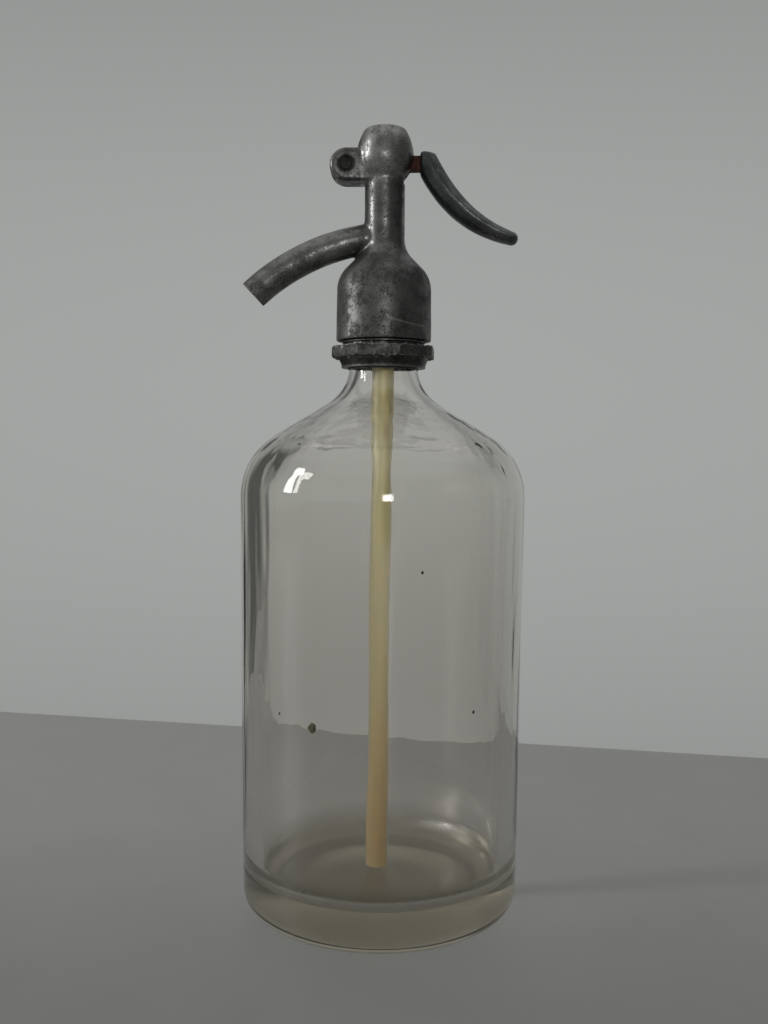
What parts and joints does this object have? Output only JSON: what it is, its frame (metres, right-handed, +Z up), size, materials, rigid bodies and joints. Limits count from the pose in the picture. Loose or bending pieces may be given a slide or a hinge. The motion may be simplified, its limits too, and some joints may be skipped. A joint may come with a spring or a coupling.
{
  "type": "soda siphon",
  "caption": "Soda siphon: a thick glass bottle with a screwed-on pewter head, curved spout, dip tube and a sprung lever that opens the valve.",
  "frame": {"origin": "centre of the base, on the surface that the bottle stands on", "axes": "+Z up along the bottle's axis, +X towards the lever handle, -X towards the spout"},
  "size_m": [0.105, 0.105, 0.2882],
  "materials": {
    "bottle_glass": "clear, faintly grey, thick moulded",
    "head_pewter": "dull cast pewter, fine turning lines, pitted",
    "handle_pewter": "darker smooth cast pewter, rubbed along the edges",
    "collar_metal": "dark rough pewter with bright nicks",
    "pin_steel": "dark oxidised",
    "rusty_steel": "rusted",
    "spring_steel": "drawn wire",
    "valve_brass": "dull turned brass",
    "black_rubber": "matt",
    "red_fibre": "pressed red fibre",
    "amber_tube": "translucent, yellowed"
  },
  "bodies": {
    "bottle_and_head": {"glass_base": "bottle_glass", "glass_wall": "bottle_glass", "glass_shoulder": "bottle_glass", "neck_gasket": "black_rubber", "split_ring_front": "collar_metal", "split_ring_back": "collar_metal", "neck_collar": "collar_metal", "head_casting": "head_pewter", "pivot_pin": "pin_steel", "cage_gasket": "red_fibre", "valve_cage": "valve_brass", "seat_gasket": "red_fibre", "valve_seat": "valve_brass", "tube_sleeve": "black_rubber", "dip_tube": "amber_tube", "return_spring": "spring_steel"},
    "lever": {"lever_shank": "rusty_steel", "lever_handle": "handle_pewter"},
    "plunger": {"plunger_rod": "valve_brass", "piston_seal": "black_rubber", "piston_washer": "valve_brass", "valve_holder": "valve_brass", "valve_disc": "black_rubber", "valve_nut": "valve_brass"}
  },
  "joints": [
    {"name": "lever_press", "type": "hinge", "parent": "bottle_and_head", "child": "lever", "pos_m": [-0.0141, 0, 0.2742], "axis": [0, 1, 0], "range_deg": [0, 12]},
    {"name": "plunger_slide", "type": "slide", "parent": "bottle_and_head", "child": "plunger", "axis": [0, 0, -1], "range_m": [0, 0.00306], "stiffness_N_per_m": 300, "springref_m": -0.004, "deforming": ["return_spring"]}
  ],
  "couplings": [
    {"joint": "lever_press", "follows": "plunger_slide", "rad_per_m": 68.49}
  ]
}
